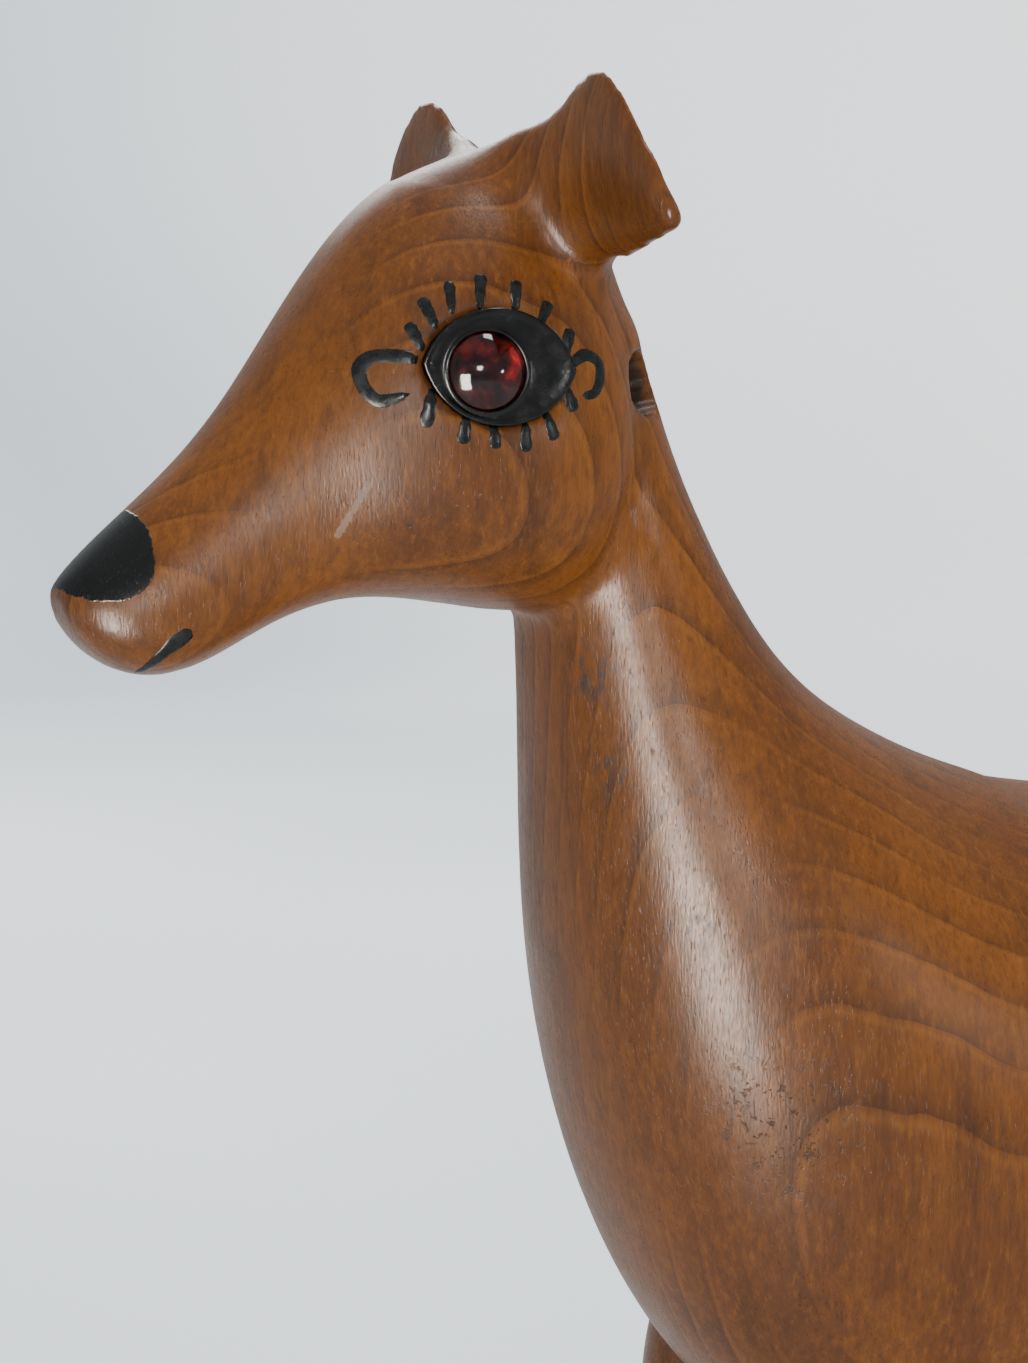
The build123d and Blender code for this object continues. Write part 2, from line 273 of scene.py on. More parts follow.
def build_nose_group():
    group, _, result = new_group("painted nose", [], [("Paint", NUMBER)])
    place = add(group, "ShaderNodeTexCoord").outputs["Object"]
    parts = add(group, "ShaderNodeSeparateXYZ")
    feed(group, parts.inputs[0], place)
    total = None
    for axis, centre, reach in zip("XZ", NOSE_CENTRE, NOSE_REACH):
        offset = math_node(group, "SUBTRACT", parts.outputs[axis], centre)
        share = math_node(group, "ABSOLUTE", math_node(group, "DIVIDE", offset, reach))
        power = math_node(group, "POWER", share, NOSE_ROUNDING)
        total = power if total is None else math_node(group, "ADD", total, power)
    brush = noise(group, place, 700.0, 3.0, 0.6)
    total = math_node(group, "ADD", total, math_node(group, "MULTIPLY", brush, NOSE_WAVER))
    feed(group, result.inputs["Paint"], band(group, total, *NOSE_EDGE))
    return group


nose_group = build_nose_group()
print("nose mask has", len(nose_group.nodes), "nodes")

# %% [markdown]
# Years of handling leave marks: a patch of small pits on the chest, dull scuffs on the
# neck and one pale scratch on the cheek.  Each is noise let through only near a place.
# Painted shade fills the empty horn sockets: a fourth mask darkens the wood near each socket's mount
# point.

# %% Handling marks and painted socket shade
PITS = ((28, -36, 77), 15)           # a place as from_throat takes it, and a radius in mm
SCUFFS = (((6.7, -13.6, 143.8), 6.5), ((8.8, -17.1, 129.2), 5.5), ((16.5, -27.4, 106.5), 5))
SCRATCH = ((-31.8, -19.5, 173.6), (-35.6, -17.0, 166.4))
SOFT_SHARE = 0.35                    # a mark is full inside this share of its radius
SOCKET_SHADE_REACH = (9.2 * MM, 7.0 * MM)   # painted shade in the horn sockets: none past the first reach, full inside the second


def from_throat(x, y, z):
    """A place measured in mm from the throat, the middle plane and the leg joints."""
    return Vector((throat_x + x * MM, y * MM, joint_z + z * MM))


def distance(tree, first, second):
    """How far one place is from another."""
    gap = add(tree, "ShaderNodeVectorMath", operation="DISTANCE")
    feed(tree, gap.inputs[0], first)
    feed(tree, gap.inputs[1], second)
    return gap.outputs["Value"]


def nearness(tree, place, spot, radius):
    """1 near a spot of the carving, and 0 past the radius."""
    return band(tree, distance(tree, place, from_throat(*spot)), radius * MM, radius * SOFT_SHARE * MM)


def greatest(tree, values):
    """The highest of several values."""
    highest = values[0]
    for value in values[1:]:
        highest = math_node(tree, "MAXIMUM", highest, value)
    return highest


def distance_to_line(group, place, start, end):
    """How far a place is from the straight stretch between two points."""
    offset = add(group, "ShaderNodeVectorMath", operation="SUBTRACT")
    feed(group, offset.inputs[0], place)
    offset.inputs[1].default_value = start
    along = add(group, "ShaderNodeVectorMath", operation="DOT_PRODUCT")
    feed(group, along.inputs[0], offset.outputs[0])
    along.inputs[1].default_value = (end - start) / (end - start).length_squared
    path = add(group, "ShaderNodeVectorMath", operation="SCALE")
    path.inputs[0].default_value = end - start
    feed(group, path.inputs["Scale"], band(group, along.outputs["Value"], 0.0, 1.0))
    return distance(group, offset.outputs[0], path.outputs[0])


def build_marks_and_shade_group():
    group, _, result = new_group(
        "handling marks and socket shade", [],
        [("Pits", NUMBER), ("Scuff", NUMBER), ("Scratch", NUMBER), ("Hollow Shade", NUMBER)])
    place = add(group, "ShaderNodeTexCoord").outputs["Object"]
    holes = noise(group, stretched(group, place, (520, 520, 620)), 1.0, 4.0, 0.7)
    holes = band(group, holes, 0.585, 0.62)
    feed(group, result.inputs["Pits"], math_node(group, "MULTIPLY", holes, nearness(group, place, *PITS)))
    rubbed = noise(group, stretched(group, place, (700, 700, 330)), 1.0, 4.0, 0.7)
    rubbed = band(group, rubbed, 0.46, 0.62)
    scuffs = [math_node(group, "MULTIPLY", rubbed, nearness(group, place, spot, radius))
              for spot, radius in SCUFFS]
    feed(group, result.inputs["Scuff"], greatest(group, scuffs))
    sockets = [Vector(mount["pos_m"]) for mount in frame["record"]["mounts"] if "horn" in mount["name"]]
    # painted shade: the wood goes dark round each horn socket's mount point
    socket_shade = [band(group, distance(group, place, socket), *SOCKET_SHADE_REACH) for socket in sockets]
    feed(group, result.inputs["Hollow Shade"], greatest(group, socket_shade))
    start, end = (from_throat(*point) for point in SCRATCH)
    ragged = math_node(group, "MULTIPLY", noise(group, place, 1600.0, 3.0, 0.7), 1.1 * MM)
    width = math_node(group, "SUBTRACT", distance_to_line(group, place, start, end), ragged)
    feed(group, result.inputs["Scratch"], band(group, width, 0.10 * MM, -0.15 * MM))
    return group


marks_and_shade_group = build_marks_and_shade_group()
print("handling marks and socket shade have", len(marks_and_shade_group.nodes), "nodes")

# %% [markdown]
# The wood is varnished and has been handled for years.  Its gloss varies: rubbed places
# are smoother, pores break the gleam, and a fine bump along the fibres makes the light
# scatter in short upright strokes.

# %% Wood materials
WOOD_HEART = (0.10, 0.60)            # X and Y of the heart of the tree
PAINT_BLACK = (0.009, 0.010, 0.010, 1)
PAINT_GLOSS = 0.24
PIT_BROWN = (0.050, 0.020, 0.010, 1)
SCUFF_GREY = (0.060, 0.045, 0.042, 1)
SCRATCH_PALE = (0.48, 0.34, 0.26, 1)
# painted shade: the colour laid inside the empty horn sockets
SOCKET_SHADE_BLACK = (0.012, 0.005, 0.003, 1)
# each mark's output, how strongly it tints, its colour, and how much rougher it is; the last row is
# painted shade in the horn sockets
MARKS_AND_SHADE = (("Pits", 0.85, PIT_BROWN, 0.35), ("Scuff", 0.80, SCUFF_GREY, 0.10),
         ("Scratch", 0.42, SCRATCH_PALE, 0.20), ("Hollow Shade", 0.93, SOCKET_SHADE_BLACK, 0.0))


def marked_and_painted(tree, colour, roughness, height):
    """Lay the wear marks, the painted shade in the horn sockets, and then the nose paint over the bare
    wood.
    """
    marks = add(tree, "ShaderNodeGroup", node_tree=marks_and_shade_group)
    for title, strength, tint, dulling in MARKS_AND_SHADE:
        mark = marks.outputs[title]
        colour = mixed(tree, math_node(tree, "MULTIPLY", mark, strength), colour, tint)
        roughness = math_node(tree, "ADD", roughness, math_node(tree, "MULTIPLY", mark, dulling))
    height = math_node(tree, "SUBTRACT", height,
                       math_node(tree, "MULTIPLY", marks.outputs["Pits"], 2.0))
    paint = add(tree, "ShaderNodeGroup", node_tree=nose_group).outputs["Paint"]
    colour = mixed(tree, paint, colour, PAINT_BLACK)
    smooth = add(tree, "ShaderNodeMix", data_type="FLOAT")
    feed(tree, smooth.inputs["Factor"], paint)
    feed(tree, smooth.inputs["A"], roughness)
    smooth.inputs["B"].default_value = PAINT_GLOSS
    height = math_node(tree, "ADD", height, math_node(tree, "MULTIPLY", paint, 2.5))
    return colour, smooth.outputs["Result"], height


def wood_material(name, spacing=0.0046, shades=None, rough=0.30, painted=False):
    material, tree, shader = new_material(name)
    grain = add(tree, "ShaderNodeGroup", node_tree=grain_group)
    grain.inputs["Heart X"].default_value = WOOD_HEART[0]
    grain.inputs["Heart Y"].default_value = WOOD_HEART[1]
    grain.inputs["Ring Spacing"].default_value = spacing
    for title, shade in (shades or {}).items():
        grain.inputs[title].default_value = (*shade, 1)
    colour = grain.outputs["Colour"]
    place = add(tree, "ShaderNodeTexCoord").outputs["Object"]
    handled = noise(tree, place, 38.0, 4.0, 0.6)
    fine = noise(tree, stretched(tree, place, (2300, 2300, 700)), 1.0, 2.0, 0.6)
    roughness = band(tree, handled, 0.3, 0.7, rough - 0.05, rough + 0.09)
    roughness = math_node(tree, "ADD", roughness, band(tree, fine, 0.35, 0.75, -0.04, 0.10))
    roughness = math_node(tree, "ADD", roughness,
                          math_node(tree, "MULTIPLY", grain.outputs["Pore"], 0.20))
    height = math_node(tree, "SUBTRACT", math_node(tree, "MULTIPLY", grain.outputs["Fibre"], 0.9),
                       grain.outputs["Pore"])
    height = math_node(tree, "ADD", height, math_node(tree, "MULTIPLY", fine, 0.8))
    if painted:
        colour, roughness, height = marked_and_painted(tree, colour, roughness, height)
    feed(tree, shader.inputs["Base Color"], colour)
    feed(tree, shader.inputs["Roughness"], roughness)
    bumped(tree, shader, height, 0.55, 0.07 * MM)
    shader.inputs["IOR"].default_value = 1.5
    shader.inputs["Specular IOR Level"].default_value = 0.30
    return material


carved_wood = wood_material("varnished_carved_wood", painted=True)
leg_wood = wood_material("varnished_leg_wood")
PEG_SHADES = {"Orange Wood": (0.50, 0.30, 0.13), "Brown Wood": (0.36, 0.20, 0.08),
              "Dark Line": (0.20, 0.10, 0.04), "Gold Line": (0.60, 0.40, 0.20)}
peg_wood = wood_material("sanded_peg_wood", spacing=0.0021, shades=PEG_SHADES, rough=0.5)
print("made the woods")

# %% [markdown]
# The carving is a copy of the CAD body, remeshed to small even faces and smoothed where
# two forms meet, because a carver rounds those over with a rasp: at the ear roots, under
# the jaw and round the haunches.

# %% Smoothed carving


def link(thing):
    bpy.context.scene.collection.objects.link(thing)
    return thing


def finished(piece, material, slot, *stands_for):
    """Coat a piece, fix it to the figure, and hide the CAD nodes it stands for."""
    piece.data.materials.clear()
    piece.data.materials.append(material)
    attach(piece, "root")
    if stands_for:
        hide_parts(*stands_for)
    for face in piece.data.polygons:
        face.use_smooth = True
    return piece


def applied(piece):
    """The piece with its modifiers worked into its mesh."""
    mesh = bpy.data.meshes.new_from_object(piece.evaluated_get(bpy.context.evaluated_depsgraph_get()))
    piece.modifiers.clear()
    piece.data = mesh
    return piece


def remeshed_copy(node, name, voxel):
    """A copy of a CAD node, cut into small even faces."""
    piece = link(bpy.data.objects.new(name, nodes[node].data.copy()))
    shape = bmesh.new()
    shape.from_mesh(piece.data)
    bmesh.ops.remove_doubles(shape, verts=shape.verts, dist=1e-6)
    shape.to_mesh(piece.data)
    shape.free()
    remesh = piece.modifiers.new("remesh", "REMESH")
    remesh.mode = "VOXEL"
    remesh.voxel_size = voxel
    return applied(piece)


def smooth_places(piece, places):
    """Smooth near each place: its centre, its radius, and how many passes."""
    shape = bmesh.new()
    shape.from_mesh(piece.data)
    for centre, radius, passes in places:
        near = [v for v in shape.verts if (v.co - centre).length < radius]
        for _ in range(passes):
            bmesh.ops.smooth_vert(shape, verts=near, factor=0.5, use_axis_x=True,
                                  use_axis_y=True, use_axis_z=True)
    shape.to_mesh(piece.data)
    shape.free()


VOXEL = 1.1 * MM
carving = remeshed_copy("body_carving", "carving", VOXEL)
everywhere = (AIM, 1.0, 2)
rounded_over = [everywhere]
for side in (-1, 1):
    rounded_over += [
        (from_throat(-5, side * 14, 213), 19 * MM, 36),     # front of the ear's root
        (from_throat(0, side * 42, 218), 24 * MM, 8),       # the ear's rim
        (from_throat(14, side * 18, 206), 12 * MM, 14),     # under the ear
        (from_throat(2, side * 16, 158), 13 * MM, 16),      # the jaw runs into the neck
        (from_throat(54, side * 30, 30), 22 * MM, 20),      # front haunch
        (from_throat(160, side * 30, 34), 24 * MM, 20),     # rear haunch
    ]
rounded_over += [(from_throat(-2, 0, 154), 12 * MM, 16), (from_throat(14, 0, 200), 14 * MM, 12),
                 (from_throat(0, 0, 222), 20 * MM, 30)]
smooth_places(carving, rounded_over)
print("carving", len(carving.data.polygons), "faces")

# %% [markdown]
# Everything about an eye is measured on a flat frame on the cheek, with its third axis
# pointing out of the glass.  On it, the almond is two arcs that meet at its corners, and a
# loft bridges one loop to the next, as a maker would stack rings of clay.

# %% Eye frame and lofts
EYE_FORWARD = math.radians(10.0)
EYE_UPWARD = math.radians(4.0)
GLASS_SINK = 1.55 * MM              # from the cheek down to the middle of the foil
ALMOND_HALF = 11.15 * MM            # half the almond's length
ALMOND_RISE = 8.3 * MM              # half its height
ALMOND_SHIFT = (1.9 * MM, 0.6 * MM)
ALMOND_TILT = math.radians(-4.0)
AROUND = 72                         # points round a loop


def middle_of(node):
    low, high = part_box(node)
    return (low + high) / 2


eye_axis = Vector((-math.sin(EYE_FORWARD) * math.cos(EYE_UPWARD),
                   -math.cos(EYE_FORWARD) * math.cos(EYE_UPWARD), math.sin(EYE_UPWARD)))
eye_right = (Vector((1, 0, 0)) - eye_axis * eye_axis.x).normalized()
eye_up = eye_axis.cross(eye_right)
eye_place = middle_of("eye_foil_left") + eye_axis * GLASS_SINK
eye_turn = Matrix((eye_right, eye_up, eye_axis)).transposed()
EYE_FRAME = Matrix.Translation(eye_place) @ eye_turn.to_4x4()


def circle_loop(shape, radius, height):
    made = bmesh.ops.create_circle(shape, cap_ends=False, segments=AROUND, radius=radius,
                                   matrix=Matrix.Translation((0, 0, height)))
    return made["verts"]


def almond_loop(shape, inset, height):
    """A loop along the almond, which is two arcs that meet at its corners."""
    verts = circle_loop(shape, 1.0, height)
    half = ALMOND_HALF - inset * 1.35
    rise = ALMOND_RISE - inset
    arc = (half * half + rise * rise) / (2 * rise)
    turn = Matrix.Rotation(ALMOND_TILT, 3, "Z")
    for v in verts:
        along = half * v.co.x
        up = math.sqrt(max(arc * arc - along * along, 0.0)) - (arc - rise)
        flat = turn @ Vector((along, math.copysign(max(up, 0.0), v.co.y), 0))
        v.co = Vector((flat.x + ALMOND_SHIFT[0], flat.y + ALMOND_SHIFT[1], height))
    return verts


def loop_edges(verts):
    held = set(verts)
    return [e for v in verts for e in v.link_edges if set(e.verts) <= held]


def lofted(shape, loops):
    """Bridge each loop to the next, and close the first and the last."""
    rings = [list(set(loop_edges(verts))) for verts in loops]
    for first, second in zip(rings, rings[1:]):
        bmesh.ops.bridge_loops(shape, edges=first + second)
    bmesh.ops.edgeloop_fill(shape, edges=rings[0])
    bmesh.ops.edgeloop_fill(shape, edges=rings[-1])
    bmesh.ops.recalc_face_normals(shape, faces=shape.faces)


def new_piece(name, shape, frame_matrix=None, flip=False):
    """An object from a shape, moved into a frame, or mirrored to the right-hand side."""
    if frame_matrix is not None:
        shape.transform(frame_matrix)
    if flip:
        shape.transform(Matrix.Scale(-1, 4, (0, 1, 0)))
        bmesh.ops.reverse_faces(shape, faces=shape.faces)
    mesh = bpy.data.meshes.new(name)
    shape.to_mesh(mesh)
    shape.free()
    return link(bpy.data.objects.new(name, mesh))


print("left eye at", eye_place)

# %% [markdown]
# The sockets for the horns and the pockets for the eyes are cut after the smoothing, with
# a drill and a chisel, so their edges stay crisp.  Each cutter is a plain solid, and a
# boolean takes it away.

# %% Crisp sockets and eye pockets
HORN_BORE = 9.7 * MM
HORN_FLARE = 0.5 * MM               # the socket opens out by this much, over its depth
HORN_REACH = 18 * MM                # long enough to clear the nape
HORN_BACK = 4.0 * MM                # from a socket's mount point back to its bottom
POCKET_DEEP = 3.9 * MM
POCKET_CLEAR = 6 * MM               # how far the eye's cutter stands out of the cheek


def cut_with(piece, cutters):
    for cutter in cutters:
        cut = piece.modifiers.new("cut", "BOOLEAN")
        cut.operation = "DIFFERENCE"
        cut.solver = "EXACT"
        cut.object = cutter
    applied(piece)
    for cutter in cutters:
        bpy.data.objects.remove(cutter)


mounts = {mount["name"]: mount for mount in frame["record"]["mounts"]}
horn_socket = mounts["horn_socket_left"]
horn_axis = Vector(horn_socket["axis"])
horn_bottom = Vector(horn_socket["pos_m"]) - horn_axis * HORN_BACK
horn_turn = horn_axis.to_track_quat("Z", "Y").to_matrix()
HORN_FRAME = Matrix.Translation(horn_bottom) @ horn_turn.to_4x4()
cutters = []
for flip in (False, True):
    shape = bmesh.new()
    lofted(shape, [almond_loop(shape, 0.0, -POCKET_DEEP), almond_loop(shape, 0.0, POCKET_CLEAR)])
    cutters.append(new_piece("pocket_cutter", shape, EYE_FRAME, flip))
    shape = bmesh.new()
    bmesh.ops.create_cone(shape, cap_ends=True, segments=64, radius1=HORN_BORE / 2,
                          radius2=HORN_BORE / 2 + HORN_FLARE, depth=HORN_REACH,
                          matrix=Matrix.Translation((0, 0, HORN_REACH / 2)))
    cutters.append(new_piece("horn_cutter", shape, HORN_FRAME, flip))
cut_with(carving, cutters)
finished(carving, carved_wood, "carved_wood", "body_carving")
print("carving after the cuts", len(carving.data.polygons), "faces")

# %% [markdown]
# The legs and the tail keep the CAD shape and take the same wood.  The pegs inside are a
# paler, plainer wood, as bought dowel is.

# %% Legs, tail and pegs


def coat(names, material):
    for node in names:
        nodes[node].data.materials.clear()
        nodes[node].data.materials.append(material)


sides = ("left", "right")
corners = [end + "_" + side for end in ("front", "rear") for side in sides]
coat(["leg_" + corner for corner in corners] + ["tail"], leg_wood)
coat(["leg_dowel_" + corner for corner in corners] + ["tail_dowel"], peg_wood)
print("coated the legs, the tail and", len(corners) + 1, "pegs")

# %% [markdown]
# Each eye is set in black pitch, poured into the almond pocket and pressed up round the
# glass.  It is a loft of loops: the almond's rim laps over the wood, and the inner loops
# turn round and lap over the edge of the glass as a fine collar.

# %% Eye pitch
GLASS_RADIUS = 6.0 * MM


def gloss_material(name, colour, rough, bump_scale, bump_height):
    """A dark gloss with smudges, a little uneven all over."""
    material, tree, shader = new_material(name)
    place = add(tree, "ShaderNodeTexCoord").outputs["Object"]
    uneven = noise(tree, place, bump_scale, 4.0, 0.6)
    smudge = noise(tree, place, bump_scale * 0.35, 3.0, 0.6)
    lighter = tuple(part * 1.8 + 0.002 for part in colour)
    feed(tree, shader.inputs["Base Color"],
         mixed(tree, band(tree, smudge, 0.45, 0.75), (*colour, 1), (*lighter, 1)))
    feed(tree, shader.inputs["Roughness"], band(tree, smudge, 0.3, 0.7, rough, rough + 0.16))
    bumped(tree, shader, uneven, 0.5, bump_height)
    shader.inputs["Specular IOR Level"].default_value = 0.35
    return material


pitch = gloss_material("black_eye_pitch", (0.006, 0.006, 0.006), 0.14, 900.0, 0.08 * MM)
paint = gloss_material("black_brushed_paint", (0.010, 0.012, 0.012), 0.20, 1500.0, 0.06 * MM)


def eye_pitch(name, flip, stands_for):
    shape = bmesh.new()
    loops = [
        almond_loop(shape, 0.05 * MM, -3.6 * MM),
        almond_loop(shape, 0.05 * MM, -0.15 * MM),
        almond_loop(shape, -0.12 * MM, 0.08 * MM),
        almond_loop(shape, -0.06 * MM, 0.34 * MM),
        almond_loop(shape, 0.22 * MM, 0.42 * MM),
        almond_loop(shape, 0.75 * MM, 0.20 * MM),
        circle_loop(shape, GLASS_RADIUS + 0.55 * MM, 0.06 * MM),
        circle_loop(shape, GLASS_RADIUS + 0.20 * MM, 0.18 * MM),
        circle_loop(shape, GLASS_RADIUS - 0.02 * MM, 0.34 * MM),
        circle_loop(shape, GLASS_RADIUS - 0.28 * MM, 0.26 * MM),
        circle_loop(shape, GLASS_RADIUS - 0.30 * MM, -0.06 * MM),
        circle_loop(shape, GLASS_RADIUS + 0.04 * MM, -0.50 * MM),
        circle_loop(shape, GLASS_RADIUS + 0.04 * MM, -1.72 * MM),
    ]
    lofted(shape, loops)
    return finished(new_piece(name, shape, EYE_FRAME, flip), pitch, "eye_pitch", stands_for)


eye_pitch("eye_pitch_left", False, "eye_bed_left")
eye_pitch("eye_pitch_right", True, "eye_bed_right")
print("set both eyes in pitch")

# %% [markdown]
# The glass is a clear dark red dome, a little cloudy, so what lies behind it shows only in
# places.  Most of its light goes through it, and its surface throws small sharp highlights.

# %% Glass


def glass_material():
    material, tree, shader = new_material("dark_red_glass")
    place = add(tree, "ShaderNodeTexCoord").outputs["Object"]
    cloudy = noise(tree, place, 420.0, 3.0, 0.6)
    feed(tree, shader.inputs["Base Color"],
         mixed(tree, band(tree, cloudy, 0.38, 0.62), (0.05, 0.004, 0.005, 1), (0.42, 0.04, 0.04, 1)))
    feed(tree, shader.inputs["Roughness"], band(tree, cloudy, 0.3, 0.7, 0.05, 0.14))
    shader.inputs["Transmission Weight"].default_value = 0.92
    shader.inputs["IOR"].default_value = 1.5
    return material


coat(["eye_lens_left", "eye_lens_right"], glass_material())
print("made the glass")

# %% [markdown]
# Behind the glass lies crumpled foil, and it is what sparkles.  Part of the sparkle is painted: the
# foil's colour is near black over most of it and bright red only on a thin band of the folds, painted
# shade and painted glints for the folds that catch the light.  One noise draws the folds, and it drives
# the colour, the gloss and the bump together, so the bright places are also the smooth ones.

# %% Foil


def foil_material():
    material, tree, shader = new_material("crumpled_red_foil")
    place = add(tree, "ShaderNodeTexCoord").outputs["Object"]
    folds = noise(tree, place, 330.0, 2.0, 0.5)
    # painted glints and shade: bright red only on a thin band of the fold noise, near black elsewhere
    painted_glint = band(tree, folds, 0.49, 0.58)
    feed(tree, shader.inputs["Base Color"],
         mixed(tree, painted_glint, (0.003, 0.001, 0.001, 1), (1.0, 0.02, 0.015, 1)))
    feed(tree, shader.inputs["Roughness"], band(tree, folds, 0.3, 0.7, 0.42, 0.22))
    bumped(tree, shader, folds, 0.8, 0.6 * MM)
    shader.inputs["Metallic"].default_value = 0.6
    return material


coat(["eye_foil_left", "eye_foil_right"], foil_material())
print("made the foil")

# %% [markdown]
# The lashes, the curls at the corners of the eye and the mouth are single strokes of a
# loaded brush.  Each stroke is a narrow grid laid along a curve, dropped on to the wood and
# raised a little in the middle, then given a thickness, so it stands as paint does.

# %% Brush strokes
surface_mesh = bmesh.new()
surface_mesh.from_mesh(carving.data)
surface = BVHTree.FromBMesh(surface_mesh)
surface_mesh.free()
PAINT_HEIGHT = 0.16 * MM            # along the middle of a stroke
PAINT_BITE = 0.03 * MM              # its edges lie this far under the wood
PAINT_THICKNESS = 0.14 * MM
BRUSH_REACH = 12 * MM               # how far off the wood a stroke starts out
BRUSH_WAVER = 0.07                  # share of the width that a hand lets vary
STROKE_STEPS = 24
STROKE_LANES = 6


def along_points(points, share):
    """A place on a smooth curve through the points (Catmull-Rom)."""
    spans = len(points) - 1
    place = min(share * spans, spans - 1e-6)
    i = int(place)
    t = place - i
    p1, p2 = points[i], points[i + 1]
    p0 = points[i - 1] if i > 0 else p1 * 2 - p2
    p3 = points[i + 2] if i + 2 <= spans else p2 * 2 - p1
    return 0.5 * (2 * p1 + (p2 - p0) * t + (2 * p0 - 5 * p1 + 4 * p2 - p3) * t * t
                  + (3 * p1 - p0 - 3 * p2 + p3) * t ** 3)


def stroke(shape, points, width, start_share, end_share, towards):
    """Lay one stroke on the wood: towards is the way that the brush points."""
    made = bmesh.ops.create_grid(shape, x_segments=STROKE_STEPS, y_segments=STROKE_LANES, size=1.0)
    for v in made["verts"]:
        share = (v.co.x + 1) / 2
        lane = v.co.y
        here = along_points(points, share)
        before = along_points(points, max(share - 0.02, 0.0))
        ahead = along_points(points, min(share + 0.02, 1.0))
        across = towards.cross(ahead - before).normalized()
        rounding = math.sqrt(max(1 - abs(2 * share - 1) ** 6, 0.02))
        swell = start_share + (end_share - start_share) * share
        waver = 1 + BRUSH_WAVER * math.sin(share * 17 + points[0].x * 9000)
        target = here + across * (lane * width / 2 * rounding * swell * waver)
        hit, normal, _, _ = surface.ray_cast(target - towards * BRUSH_REACH, towards)
        if hit is None:
            hit, normal, _, _ = surface.find_nearest(target)
        height = PAINT_HEIGHT * (1 - lane * lane) * rounding - PAINT_BITE
        v.co = hit + normal * height
    faces = list({f for v in made["verts"] for f in v.link_faces})
    bmesh.ops.solidify(shape, geom=faces, thickness=PAINT_THICKNESS)


print("brush ready over", len(carving.data.polygons), "faces of wood")


# %% [markdown]
# Thirteen lashes stand round each eye, thin at the lid and fuller at the tip, and a curl
# runs off each corner.  They are given in millimetres on the eye's frame, so the right eye
# is the left one mirrored.

# %% Lashes and curls
BRUSH_WIDTH = 1.3                   # every stroke by the eye is this much fuller than drawn
LASH_ENDS = (0.6, 1.05)             # width at the lid and at the tip, as shares
CURL_ENDS = (1.0, 0.85)


def in_eye(u, v):
    return EYE_FRAME @ Vector((u * MM, v * MM, 0))


# each lash: where it starts, where it ends, and its width
LASHES = [
    ((-9.0, 3.2), (-10.8, 7.2), 1.7),
    ((-6.9, 6.3), (-8.6, 10.8), 1.7),
    ((-4.5, 8.3), (-4.5, 13.2), 1.5),
    ((-0.4, 9.0), (0.3, 14.2), 1.7),
    ((5.1, 8.8), (5.5, 13.2), 1.7),
    ((8.7, 6.8), (10.4, 10.1), 1.7),
    ((12.0, 1.5), (13.5, 6.2), 1.9),
    ((-8.0, -2.2), (-9.2, -7.7), 1.9),
    ((-3.2, -6.0), (-4.0, -10.1), 1.8),
    ((0.7, -7.0), (0.9, -10.9), 1.6),
    ((5.5, -7.2), (5.5, -11.4), 1.7),
    ((8.7, -5.8), (10.1, -9.8), 1.7),
    ((12.0, -2.2), (13.4, -5.7), 1.9),
]
FRONT_CURL = [(-8.9, 1.7), (-12.8, 2.5), (-16.2, 2.4), (-17.8, 0.6), (-17.3, -2.0), (-15.2, -3.8),
              (-11.1, -2.9)]
BACK_CURL = [(12.7, 0.2), (14.2, 1.7), (16.0, 2.4), (18.1, 1.2), (18.0, -1.4), (16.9, -3.1),
             (14.7, -3.6)]
CURLS = [(FRONT_CURL, 1.9), (BACK_CURL, 1.6)]


def lashes(name, flip):
    shape = bmesh.new()
    for base, tip, width in LASHES:
        stroke(shape, [in_eye(*base), in_eye(*tip)], width * BRUSH_WIDTH * MM, *LASH_ENDS, -eye_axis)
    for points, width in CURLS:
        path = [in_eye(*point) for point in points]
        stroke(shape, path, width * BRUSH_WIDTH * MM, *CURL_ENDS, -eye_axis)
    bmesh.ops.recalc_face_normals(shape, faces=shape.faces)
    return finished(new_piece(name, shape, None, flip), paint, "black_paint")


lashes("lashes_left", False)
lashes("lashes_right", True)
print("painted", len(LASHES), "lashes and", len(CURLS), "curls by each eye")

# %% [markdown]
# The mouth is one short stroke on each side of the muzzle, pressed hard at the corner and
# lifted off towards the lip, so it tapers.

# %% Mouth
MOUTH = [(-56.1, -13, 153.1), (-59.5, -11, 150.0), (-62.2, -5, 146.0)]
MOUTH_WIDTH = 2.9 * MM
MOUTH_ENDS = (1.0, 0.35)


def mouth(name, flip):
    shape = bmesh.new()
    points = [surface.find_nearest(from_throat(*point))[0] for point in MOUTH]
    inward = Vector((0.15, 0.85, 0.5)).normalized()
    stroke(shape, points, MOUTH_WIDTH, *MOUTH_ENDS, inward)
    bmesh.ops.recalc_face_normals(shape, faces=shape.faces)
    return finished(new_piece(name, shape, None, flip), paint, "black_paint")


mouth("mouth_line_left", False)
mouth("mouth_line_right", True)
print("painted the mouth")

# %% [markdown]
# The figure stands in a plain pale studio bowl, a disc with an upturned rim, so every side
# of it has the same quiet backdrop.  It is one profile, spun round.

# %% Studio bowl
FLOOR_REACH = 2.2                   # radius of the flat floor, in metres
COVE = 0.8                          # radius of the bend from the floor to the wall
WALL_TOP = 3.2
COVE_STEPS = 8


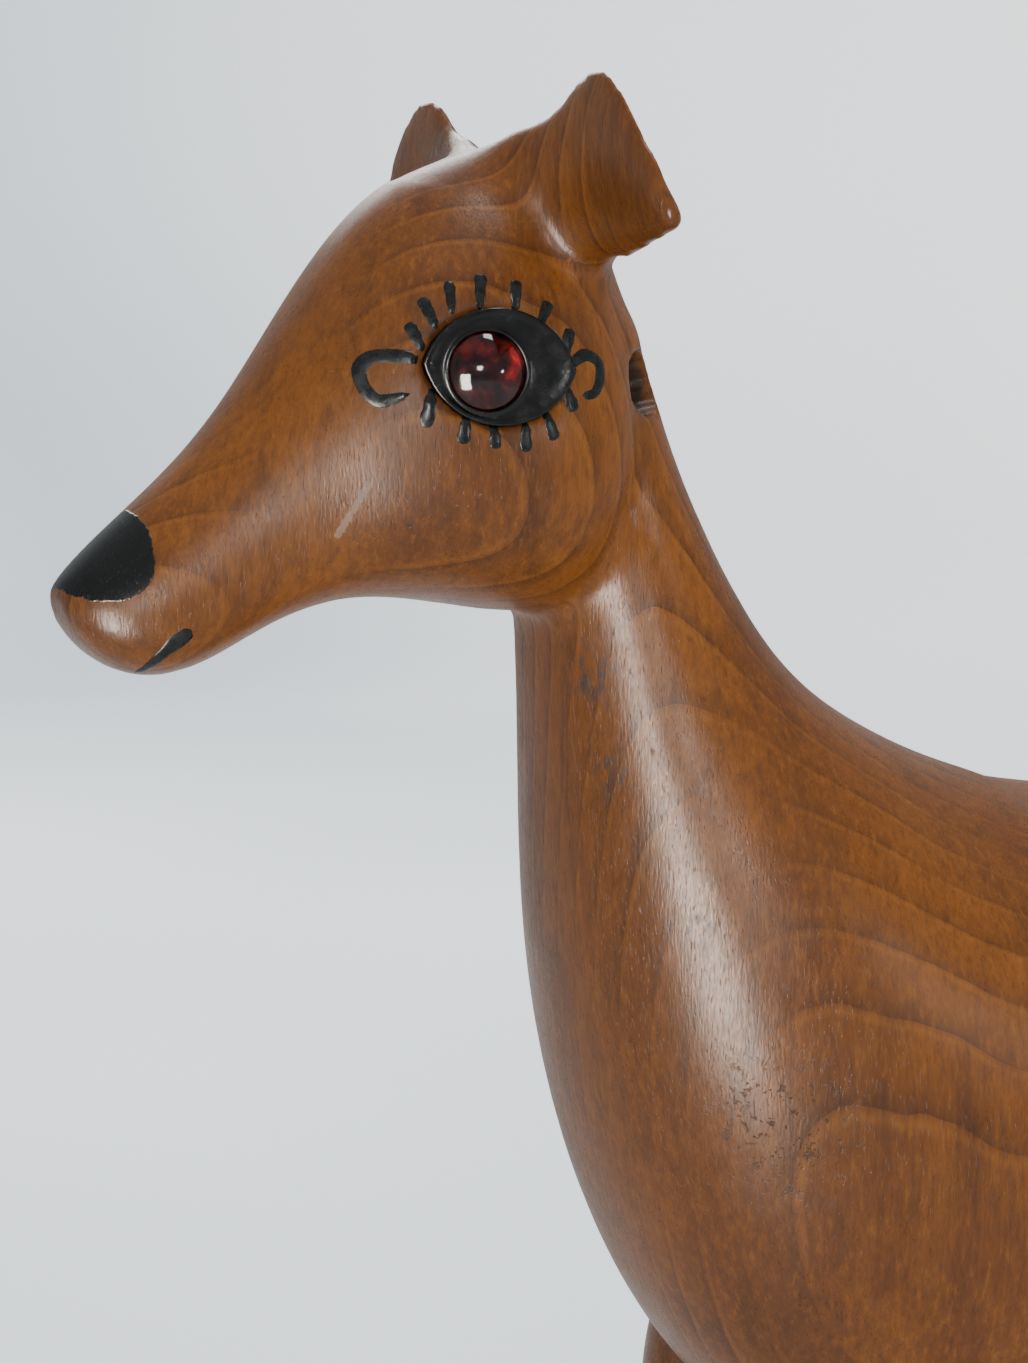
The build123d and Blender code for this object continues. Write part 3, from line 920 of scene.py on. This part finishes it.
def studio_bowl():
    shape = bmesh.new()
    last = shape.verts.new((0, 0, 0))
    profile = []
    places = [(FLOOR_REACH * share, 0.0) for share in (0.25, 0.5, 0.75, 1.0)]
    for step in range(1, COVE_STEPS + 1):
        turn = step / COVE_STEPS * math.pi / 2
        places.append((FLOOR_REACH + COVE * math.sin(turn), COVE * (1 - math.cos(turn))))
    places.append((FLOOR_REACH + COVE, WALL_TOP))
    for x, z in places:
        here = shape.verts.new((x, 0, z))
        profile.append(shape.edges.new((last, here)))
        last = here
    bmesh.ops.spin(shape, geom=list(shape.verts) + profile, axis=(0, 0, 1), cent=(0, 0, 0),
                   angle=2 * math.pi, steps=96, use_merge=True)
    bmesh.ops.remove_doubles(shape, verts=shape.verts, dist=1e-5)
    bmesh.ops.recalc_face_normals(shape, faces=shape.faces)
    bowl = new_piece("studio_bowl", shape)
    for face in bowl.data.polygons:
        face.use_smooth = True
    material, tree, shader = new_material("pale_backdrop")
    shader.inputs["Base Color"].default_value = (0.76, 0.78, 0.79, 1)
    shader.inputs["Roughness"].default_value = 0.7
    # painted light: the backdrop glows, for the camera alone, so it does not flatten the varnish; the
    # glow is brighter and whiter towards +X, bluer towards -X, with soft cloudy brighter patches
    seen = add(tree, "ShaderNodeLightPath").outputs["Is Camera Ray"]
    place = add(tree, "ShaderNodeTexCoord").outputs["Object"]
    side = add(tree, "ShaderNodeSeparateXYZ")
    feed(tree, side.inputs[0], place)
    painted_side_glow = band(tree, side.outputs["X"], 0.6, 2.3)
    painted_glow_patches = band(tree, noise(tree, place, 1.1, 1.0, 0.4), 0.40, 0.66)
    glow = mixed(tree, painted_side_glow, (0.60, 0.70, 0.77, 1), (1.75, 1.75, 1.73, 1))
    glow = mixed(tree, math_node(tree, "MULTIPLY", painted_glow_patches, 0.35), glow, (1.30, 1.42, 1.50, 1))
    feed(tree, shader.inputs["Emission Color"], glow)
    feed(tree, shader.inputs["Emission Strength"], seen)
    bowl.data.materials.append(material)


studio_bowl()
print("spun the studio bowl")

# %% [markdown]
# A varnished carving is lit by what it reflects, so each light is a rectangle of a chosen
# size: its shape is the shape of a gleam.  A tall narrow one close by draws the long gleam
# down the chest, and the others are windows and a lamp further off.

# %% Lights
# name, azimuth and elevation in degrees, distance, width, height, watts, colour
LIGHTS = (
    ("window", -20, 14, 1.4, 0.24, 0.20, 5.6, (1.0, 0.97, 0.93)),
    ("second_window", -50, -17, 0.55, 0.19, 0.42, 11.5, (1.0, 0.93, 0.85)),
    ("ceiling", 70, 74, 1.6, 0.45, 0.45, 9, (1.0, 0.99, 0.97)),
    ("lamp", 28, 7, 1.2, 0.10, 0.08, 1.2, (1.0, 0.97, 0.93)),
    ("far_fill", 165, 32, 2.0, 0.9, 0.9, 16, (1.0, 0.99, 0.98)),
)
ROOM_COLOUR = (0.86, 0.88, 0.90, 1)
ROOM_STRENGTH = 0.56


def soft_light(name, azimuth, elevation, distance, wide, tall, power, colour):
    light = link(bpy.data.objects.new(name, bpy.data.lights.new(name, "AREA")))
    light.data.shape = "RECTANGLE"
    light.data.size = wide
    light.data.size_y = tall
    light.data.energy = power
    light.data.color = colour
    spot = AIM + direction(math.radians(azimuth), math.radians(elevation)) * distance
    aim_at(light, spot, AIM)
    light.visible_camera = False
    return light


lights = {row[0]: soft_light(*row) for row in LIGHTS}
lights["second_window"].visible_diffuse = False       # it only draws the gleam down the chest
world = bpy.data.worlds.new("room")
world.use_nodes = True
room = world.node_tree.nodes["Background"]
room.inputs["Color"].default_value = ROOM_COLOUR
room.inputs["Strength"].default_value = ROOM_STRENGTH
bpy.context.scene.world = world
print("lit by", ", ".join(lights))
